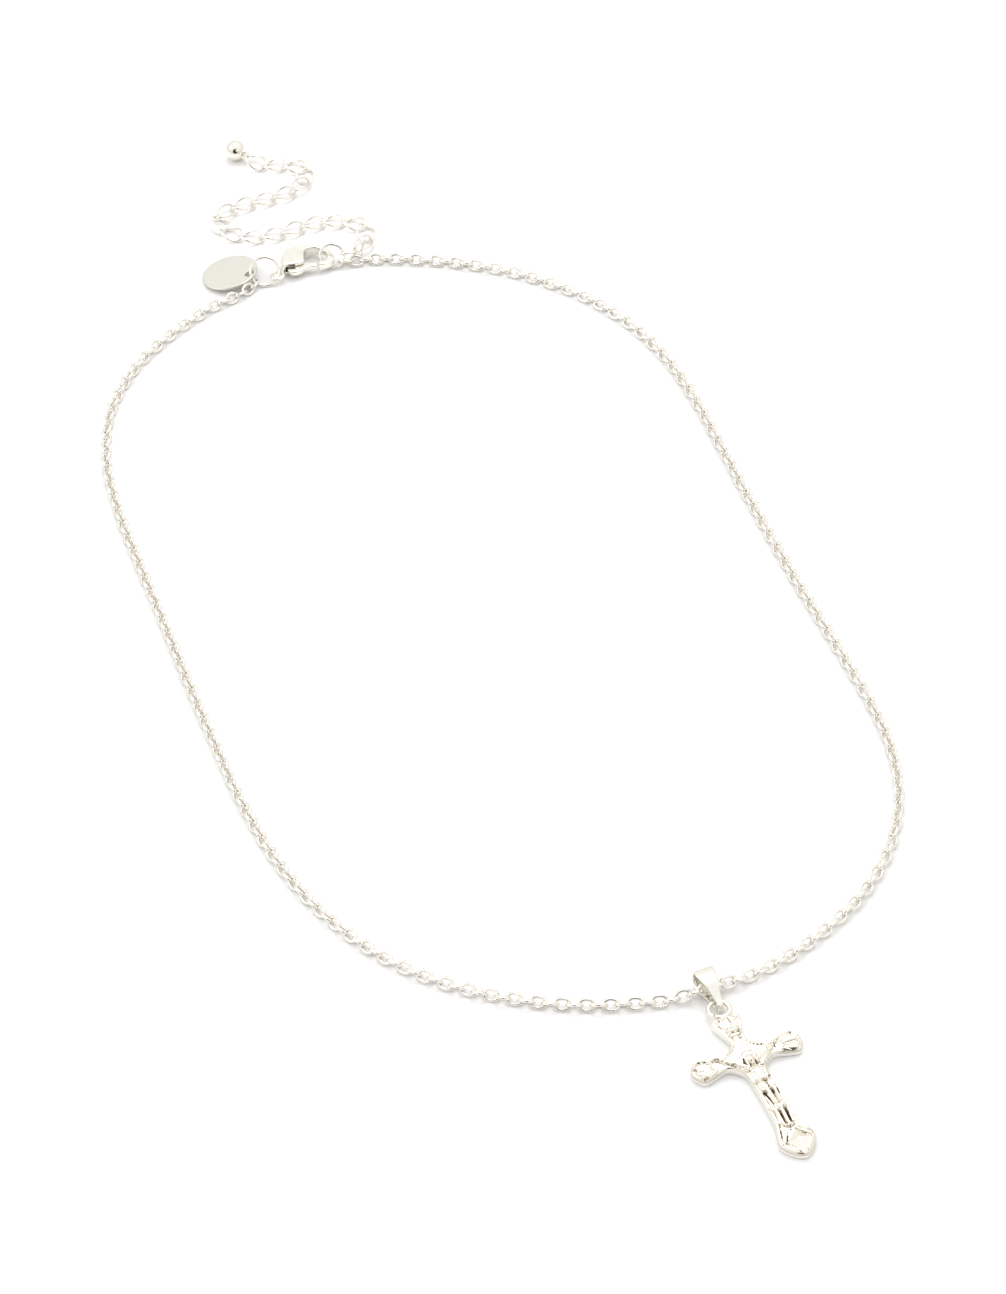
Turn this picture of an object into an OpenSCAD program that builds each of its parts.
// Cross necklace laid out on a table: a flat cast crucifix pendant on a folded
// strap bail, a fine cable chain in one closed loop, a lobster clasp with a round
// tag, and a curb-link extender that ends in a ball. Millimetres, +Z up, the table
// is z = 0, the pendant points to -Y.

/* [Cross] */
// thickness of the flat cast plate
plate_t = 1.5; // [1.4:0.1:1.9]
// depth of the field behind the raised border
field_d = 0.45; // [0.2:0.05:0.6]
// width of the raised border
border_w = 0.5; // [0.35:0.05:0.7]
// height that the figure's body stands above the plate
relief_h = 0.9; // [0.6:0.1:1.1]
// wire radius of the hanging eye
eye_wire = 0.35; // [0.3:0.01:0.36]

/* [Bail] */
// thickness of the folded strap
bail_t = 0.45; // [0.4:0.01:0.46]
// widest part of the strap
bail_w = 2.9; // [2.4:0.1:3.2]

/* [Chain] */
// half the height that a chain link fills
chain_r = 0.83; // [0.7:0.01:0.85]

/* [Clasp] */
// thickness of the clasp body
clasp_t = 2.3; // [2.1:0.1:2.5]
// radius of the lever's pin
pin_r = 0.35; // [0.3:0.05:0.4]

/* [Rings] */
// wire radius of the jump ring and the end ring
ring_wire = 0.25; // [0.2:0.01:0.26]

/* [Tag] */
// diameter of the round tag
tag_d = 9.4; // [9:0.1:9.6]
// thickness of the round tag
tag_t = 0.42; // [0.3:0.02:0.46]

/* [Extender] */
// wire radius of the extender links
link_wire = 0.21; // [0.17:0.01:0.22]
// diameter of the ball at the end
ball_d = 3.5; // [3.2:0.1:3.7]

/* [Hidden] */
silver = [0.80, 0.78, 0.74];
eps = 0.01;

// where the hanging eye's centre is, and the way that the pendant points
hang = [28.9, -89.15];
turn = 19.5;

// the pendant's half outline, x across and y down from the eye's centre
half = [[1.15, 1.6], [2.0, 1.85], [2.1, 2.3], [1.95, 3.2], [1.5, 4.6], [1.25, 5.6],
    [1.25, 6.3], [1.6, 7.1], [2.0, 7.6], [2.6, 8.0], [3.3, 8.15], [4.4, 7.95],
    [5.2, 7.65], [6.1, 7.35], [7.05, 7.2], [7.6, 7.65], [8.1, 8.4], [8.25, 9.1],
    [8.15, 9.8], [7.8, 10.5], [7.2, 11.2], [6.4, 11.22], [5.2, 10.88],
    [4.2, 10.56], [3.5, 10.52], [2.9, 10.77], [2.3, 11.3], [1.85, 11.9],
    [1.57, 12.6], [1.47, 13.4], [1.45, 15.0], [1.47, 17.0], [1.54, 20.0],
    [1.75, 22.0], [2.02, 23.0], [2.32, 24.0], [2.6, 25.0], [2.68, 25.6],
    [2.52, 26.3], [2.05, 27.1], [1.2, 28.0], [0.35, 28.5]];
outline = concat([for (p = half) [p[0], -p[1]]],
    [for (i = [len(half) - 1:-1:0]) [-half[i][0], -half[i][1]]]);

// chain routes: x, y, height of the middle, radius
left_way = [[-34.3, 80.0, 0.62, 0.4], [-35.7, 78.3, 0.78, 0.66],
    [-38.4, 76.4, 0.84, chain_r], [-41.7, 74.4, 0.84, chain_r],
    [-48.1, 68.3, 0.84, chain_r], [-54.0, 60.1, 0.84, chain_r],
    [-57.7, 49.5, 0.84, chain_r], [-58.2, 37.3, 0.84, chain_r],
    [-56.2, 25.4, 0.84, chain_r], [-53.2, 14.1, 0.84, chain_r],
    [-50.1, 3.1, 0.84, chain_r], [-47.1, -7.6, 0.84, chain_r],
    [-44.2, -18.1, 0.84, chain_r], [-41.2, -28.3, 0.84, chain_r],
    [-38.2, -38.2, 0.84, chain_r], [-34.8, -47.6, 0.84, chain_r],
    [-30.9, -56.4, 0.84, chain_r], [-26.2, -64.2, 0.84, chain_r],
    [-20.8, -70.9, 0.84, chain_r], [-14.9, -76.3, 0.84, chain_r],
    [-8.5, -80.4, 0.84, chain_r], [-1.8, -83.3, 0.84, chain_r],
    [5.0, -85.3, 0.84, chain_r], [11.9, -86.4, 0.84, chain_r],
    [18.0, -86.6, 0.84, chain_r], [22.4, -86.4, 0.92, chain_r],
    [25.4, -85.85, 1.34, chain_r], [27.69, -85.13, 1.43, chain_r]];
right_way = [[27.75, -85.11, 1.43, chain_r], [30.1, -84.3, 1.34, chain_r],
    [33.0, -83.15, 0.92, chain_r], [36.4, -81.5, 0.84, chain_r],
    [39.6, -79.5, 0.84, chain_r], [45.3, -74.9, 0.84, chain_r],
    [51.0, -68.6, 0.84, chain_r], [55.5, -60.5, 0.84, chain_r],
    [58.1, -50.9, 0.84, chain_r], [58.3, -40.7, 0.84, chain_r],
    [56.5, -30.9, 0.84, chain_r], [53.8, -21.2, 0.84, chain_r],
    [50.8, -11.5, 0.84, chain_r], [47.8, -1.6, 0.84, chain_r],
    [44.9, 8.7, 0.84, chain_r], [42.0, 19.2, 0.84, chain_r],
    [39.2, 30.1, 0.84, chain_r], [36.3, 41.3, 0.84, chain_r],
    [32.6, 52.1, 0.84, chain_r], [27.6, 61.6, 0.84, chain_r],
    [21.2, 69.4, 0.84, chain_r], [13.9, 75.2, 0.84, chain_r],
    [6.1, 79.4, 0.84, chain_r], [-2.0, 82.2, 0.84, chain_r],
    [-9.6, 83.8, 0.84, chain_r], [-14.4, 84.3, 0.84, chain_r],
    [-17.2, 84.2, 0.86, 0.72], [-19.1, 84.15, 0.94, 0.4]];

// where the extender's links meet: x, y, height
low = 0.56 + link_wire;
meet = [[-35.3, 114.5, 1.5], [-32.5, 112.3, low], [-28.9, 112.5, low],
    [-25.6, 111.0, low], [-25.3, 107.4, low], [-27.6, 104.7, low],
    [-30.9, 103.3, low], [-34.5, 102.4, low], [-37.9, 101.2, low],
    [-40.5, 98.7, low], [-39.6, 95.2, low], [-36.6, 93.1, low],
    [-33.0, 92.7, low], [-29.5, 93.4, low], [-26.2, 94.8, low],
    [-22.7, 95.7, low], [-19.1, 95.5, low], [-15.8, 93.8, low],
    [-15.1, 90.3, low], [-16.8, 87.1, low]];
link_a = 2.13;
link_b = 1.44;

// the two rings of wire beside the clasp
jump_at = [-32.5, 81.85];
jump_r = 2.4;
jump_tip = 40;
end_at = [-21.3, 84.9];
end_r = 2.0;
end_tip = 44;
end_z = end_r * sin(end_tip) + ring_wire + 0.02;

function unit(v) = v / norm(v);
// a smooth curve through control points, s from 0 to len(p) - 1
function way(p, s) = let (n = len(p) - 1, i = min(floor(s), n - 1), u = s - i,
    a = p[max(i - 1, 0)], b = p[i], c = p[i + 1], d = p[min(i + 2, n)])
    b + u * (c - a) / 2 + u * u * (a - 2.5 * b + 2 * c - d / 2)
    + u * u * u * (1.5 * (b - c) + (d - a) / 2);
// the corners of a sweep: q holds [middle, side, up, radius] for every ring
function skin(q, m) = [for (r = q) for (k = [0:m - 1])
    r[0] + r[3] * (cos(360 * k / m) * r[1] + sin(360 * k / m) * r[2])];
function wall(n, m, laps) = [for (i = [0:laps - 1]) for (k = [0:m - 1])
    let (a = i * m + k, b = i * m + (k + 1) % m, c = ((i + 1) % n) * m + k,
        d = ((i + 1) % n) * m + (k + 1) % m) each [[a, b, d], [a, d, c]]];

// a tube along a route, with flat ends
module tube(p, rings) {
    q = [for (i = [0:rings - 1]) let (s = (len(p) - 1) * i / (rings - 1),
        w = way(p, s), e = 0.02, w0 = way(p, max(s - e, 0)),
        w1 = way(p, min(s + e, len(p) - 1)),
        t = unit([w1[0] - w0[0], w1[1] - w0[1], w1[2] - w0[2]]),
        side = unit(cross([0, 0, 1], t)))
        [[w[0], w[1], w[2]], side, cross(t, side), w[3]]];
    polyhedron(skin(q, 8), concat(wall(rings, 8, rings - 1),
        [[for (k = [7:-1:0]) k]],
        [[for (k = [0:7]) (rings - 1) * 8 + k]]));
}

// a closed wire loop: middle c, long way u, side v, curb twist of the two ends
function loop_at(c, u, v, a, b, twist, f) = let (t = twist * cos(f))
    c + a * cos(f) * u + b * sin(f) * (cos(t) * v + sin(t) * cross(u, v));
module wire_loop(c, u, v, a, b, twist, r) {
    n = 16;
    q = [for (i = [0:n - 1]) let (f = 360 * i / n,
        p = loop_at(c, u, v, a, b, twist, f),
        t = unit(loop_at(c, u, v, a, b, twist, f + 1)
            - loop_at(c, u, v, a, b, twist, f - 1)),
        o = p - c, s = unit(o - (o * t) * t)) [p, s, cross(t, s), r]];
    polyhedron(skin(q, 6), wall(n, 6, n));
}
module curb_link(i) {
    p = meet[i - 1];
    q = meet[i];
    u = unit(q - p);
    v = unit([-u[1], u[0], 0]);
    color(silver) wire_loop((p + q) / 2, u, v, link_a, link_b, 45, link_wire);
}
module ring(r, w) rotate_extrude() translate([r, 0]) circle(w, $fn = 24);

// the pendant: plate with border, cast figure, five round buds at each arm's end
module bar(x0, y0, z0, x1, y1, z1, r0, r1) {
    d = [x1 - x0, y1 - y0, z1 - z0];
    translate([x0, y0, z0])
        rotate([0, acos(d[2] / norm(d)), atan2(d[1], d[0])])
            cylinder(h = norm(d), r1 = r0, r2 = r1);
}
module lump(x, y, z, a, b, c) translate([x, y, z]) scale([a, b, c]) sphere(1);
module plate() {
    difference() {
        linear_extrude(plate_t) polygon(outline);
        translate([0, 0, plate_t - field_d]) linear_extrude(field_d + 1)
            offset(delta = -border_w) polygon(outline);
    }
}
module figure() {
    z = plate_t - field_d;
    h = z + relief_h;
    // rayed round glory behind the head
    translate([0.05, -9.5, z - eps]) cylinder(h = field_d * 0.8, r = 2.7);
    // head with long hair, and its beard
    lump(0.05, -10.2, h, 0.7, 0.9, 0.7);
    lump(0.1, -10.35, z + 0.35, 1.05, 1.3, 0.75);
    // arms from shoulders to hands
    for (s = [-1, 1]) {
        bar(s * 0.9, -11.5, z + 0.4, s * 2.5, -10.15, z + 0.4, 0.48, 0.4);
        bar(s * 2.5, -10.15, z + 0.4, s * 4.3, -8.8, z + 0.35, 0.4, 0.3);
        lump(s * 2.5, -10.15, z + 0.38, 0.47, 0.47, 0.47);
        lump(s * 4.5, -8.65, z + 0.3, 0.5, 0.38, 0.38);
        lump(s * 0.95, -11.6, z + 0.4, 0.6, 0.55, 0.55);
    }
    // chest, waist, loincloth
    lump(0.1, -12.6, z + 0.4, 1.1, 1.35, relief_h);
    lump(0.15, -14.2, z + 0.3, 0.8, 1.3, relief_h * 0.8);
    lump(0.2, -15.5, z + 0.4, 1.1, 1.15, relief_h * 0.9);
    // legs and feet
    bar(-0.35, -15.9, z + 0.35, -0.4, -19.6, h - 0.1, 0.52, 0.44);
    bar(0.85, -15.9, z + 0.35, 0.7, -19.6, h - 0.1, 0.52, 0.44);
    bar(-0.4, -19.6, h - 0.1, -0.15, -22.9, z + 0.3, 0.45, 0.33);
    bar(0.7, -19.6, h - 0.1, 0.38, -22.9, z + 0.3, 0.45, 0.33);
    lump(-0.4, -19.6, h - 0.15, 0.5, 0.57, 0.47);
    lump(0.7, -19.6, h - 0.15, 0.5, 0.57, 0.47);
    lump(0.1, -23.4, z + 0.2, 0.6, 0.85, 0.53);
}
module buds() {
    z = plate_t - field_d;
    for (s = [-1, 1]) {
        lump(s * 6.0, -8.35, z, 0.95, 0.55, 0.65);
        lump(s * 7.0, -9.25, z, 0.75, 0.75, 0.7);
        lump(s * 6.0, -10.15, z, 0.95, 0.55, 0.65);
        lump(s * 1.1, -2.9, z + 0.1, 0.55, 0.55, 0.55);
    }
    lump(0, -4.9, z, 0.65, 0.8, 0.6);
    lump(0, -6.6, z, 0.55, 0.5, 0.45);
    // kite-shaped point at the foot
    translate([0.05, -26.0, z - eps]) scale([1.85, 1.95, 1.0])
        cylinder(h = 0.9, r1 = 1, r2 = 0.12, $fn = 4);
}
module cross_piece() color(silver) translate([hang[0], hang[1], 0])
    rotate([0, 0, turn]) {
        translate([0, 0, 1.25]) ring(1.5, eye_wire);
        plate();
        figure();
        buds();
        translate([-0.6, -2.4, 0.6]) cube([1.2, 1.2, 0.85]);
    }

// the strap: side view (x away from the pendant, y up), cut to a plan shape; it
// hangs a little to the right on the eye
bail_off = -0.42;
module drop_shape(t) {
    polygon([[0.1 + t, 0.9 + t * 0.2], [0.35 + t, 0.05 + t], [5.4, 0.05 + t],
        [5.4, 3.45 - t], [3.3 - t * 0.1, 3.45 - t],
        [0.1 + t * 1.35, 1.62 - t * 0.35]]);
    translate([5.4, 1.75]) circle(1.7 - t, $fn = 48);
}
module bail() color(silver) translate([hang[0], hang[1], 0])
    rotate([0, 0, turn + 90]) translate([0, bail_off, 0]) intersection() {
        translate([0, 3, 0]) rotate([90, 0, 0]) linear_extrude(6)
            difference() {
                drop_shape(0);
                drop_shape(bail_t);
            }
        linear_extrude(5) polygon([for (s = [-1, 1])
            for (p = s > 0 ? [[-0.1, 0.4], [1.2, 0.45], [3.4, 1.0], [4.6, 1.25],
                [5.4, bail_w / 2], [8, bail_w / 2]] : [[8, bail_w / 2],
                [5.4, bail_w / 2], [4.6, 1.25], [3.4, 1.0], [1.2, 0.45],
                [-0.1, 0.4]]) [p[0], s * p[1]]]);
    }

module chain_left() color(silver) tube(left_way, 44);
module chain_right() color(silver) tube(right_way, 36);

// lobster clasp: cast body with a hook, open middle, fork slot and pin for the lever
pin_at = [-28.1, 83.8];
mid = clasp_t / 2 + 0.1;
module clasp_body() color(silver) {
    difference() {
        intersection() {
            translate([0, 0, 0]) linear_extrude(4) polygon([[-29.7, 82.4],
                [-29.95, 83.4], [-29.7, 84.8], [-29.2, 86.1], [-28.8, 87.0],
                [-27.6, 87.35], [-26.3, 87.7], [-25.0, 87.85], [-23.6, 87.7],
                [-22.4, 87.1], [-21.5, 86.2], [-21.0, 85.1], [-20.95, 84.2],
                [-21.2, 83.4], [-21.8, 82.85], [-22.6, 82.6], [-23.5, 82.6],
                [-23.5, 83.55], [-22.7, 83.6], [-22.3, 83.95], [-22.15, 84.6],
                [-22.2, 85.5], [-22.6, 86.3], [-23.3, 86.85], [-24.2, 87.1],
                [-25.1, 86.9], [-25.7, 86.4], [-25.9, 85.6], [-25.9, 83.4],
                [-26.4, 83.0], [-27.4, 82.75], [-28.6, 82.7]]);
            translate([0, 90, 0]) rotate([90, 0, 0]) linear_extrude(12)
                polygon([[-30.2, 0.5], [-29.5, 0.1], [-26.0, 0.1],
                    [-23.6, 0.45], [-22.5, 0.78], [-20.5, 0.82],
                    [-20.5, 1.85], [-22.5, 1.95], [-23.6, 2.1],
                    [-26.0, clasp_t + 0.1], [-29.3, clasp_t + 0.1],
                    [-30.2, clasp_t - 0.3]]);
        }
        translate([0, 0, mid - 0.52]) linear_extrude(1.04)
            polygon([[-29.05, 80], [-29.05, 84.6], [-27.4, 84.9],
                [-25.0, 85.9], [-25.0, 80]]);
    }
    translate([pin_at[0], pin_at[1], 0.3]) cylinder(h = clasp_t - 0.4, r = pin_r);
    translate([-30.4, 81.25, 1.3]) ring(0.98, 0.27);
    bar(-29.72, 81.97, 1.3, -29.45, 83.0, 1.3, 0.42, 0.42);
}
module clasp_lever() color(silver) translate([0, 0, mid - 0.45])
    difference() {
        linear_extrude(0.9) polygon(concat([for (f = [60:20:200])
            pin_at + 0.74 * [cos(f), sin(f)]], [[-28.7, 82.2], [-28.2, 81.5],
            [-27.3, 81.35], [-26.4, 81.7], [-25.5, 82.45], [-23.7, 82.65],
            [-23.62, 83.55], [-26.0, 83.85]]));
        translate([pin_at[0], pin_at[1], -1]) cylinder(h = 3, r = pin_r + 0.05);
    }

// round tag, one side lifted onto the jump ring
module tag() color(silver) translate([-38.2, 83.15, 0.01]) rotate([0, 0, -25])
    rotate([0, -9.5, 0]) translate([0, 0, 0]) difference() {
        translate([0, 0, tag_d / 2 * tan(9.5)]) cylinder(h = tag_t, r = tag_d / 2);
        translate([3.67, -0.05, -1]) cylinder(h = 5, r = 0.78);
    }
module jump_ring() color(silver)
    translate([jump_at[0], jump_at[1], jump_r * sin(jump_tip) + ring_wire + 0.02])
        rotate([jump_tip, 0, 0]) ring(jump_r, ring_wire);
module end_ring() color(silver) translate([end_at[0], end_at[1], end_z])
    rotate([end_tip, 0, 0]) ring(end_r, ring_wire);

// extender: a joining link, a small upright ring, nineteen curb links, the ball
ring_at = [-16.8, 86.6, 1.35 + link_wire + 0.02];
module extender_joiner() {
    p = [end_at[0] + end_r * cos(10), end_at[1] + end_r * sin(10) * cos(end_tip),
        end_z + end_r * sin(10) * sin(end_tip)];
    q = ring_at + 1.35 * [cos(170) * cos(55), cos(170) * sin(55), sin(170)];
    u = unit(q - p);
    s = [-0.2, 0.85, -0.6];
    color(silver) wire_loop((p + q) / 2, u, unit(s - (s * u) * u),
        norm(q - p) / 2 + 0.5, 0.85, 0, 0.2);
}
module extender_ring() color(silver) translate(ring_at) rotate([90, 0, 55])
    ring(1.35, link_wire);
module ball_drop() {
    u = unit(meet[1] - meet[0]);
    v = unit([-u[1], u[0], 0]);
    w = cross(u, v);
    c = meet[0] - 0.31 * u;
    color(silver) {
        translate([-37.25, 116.0, ball_d / 2]) sphere(ball_d / 2);
        multmatrix([for (k = [0:2]) [u[k], (v[k] + w[k]) / sqrt(2),
            (w[k] - v[k]) / sqrt(2), c[k]]]) ring(0.55, 0.2);
    }
}

cross_piece();  // cross
bail();
chain_left();
chain_right();
clasp_body();
clasp_lever();
tag();
jump_ring();
end_ring();
extender_joiner();
extender_ring();
ball_drop();
curb_link(1);  // extender_link_01
curb_link(2);  // extender_link_02
curb_link(3);  // extender_link_03
curb_link(4);  // extender_link_04
curb_link(5);  // extender_link_05
curb_link(6);  // extender_link_06
curb_link(7);  // extender_link_07
curb_link(8);  // extender_link_08
curb_link(9);  // extender_link_09
curb_link(10);  // extender_link_10
curb_link(11);  // extender_link_11
curb_link(12);  // extender_link_12
curb_link(13);  // extender_link_13
curb_link(14);  // extender_link_14
curb_link(15);  // extender_link_15
curb_link(16);  // extender_link_16
curb_link(17);  // extender_link_17
curb_link(18);  // extender_link_18
curb_link(19);  // extender_link_19
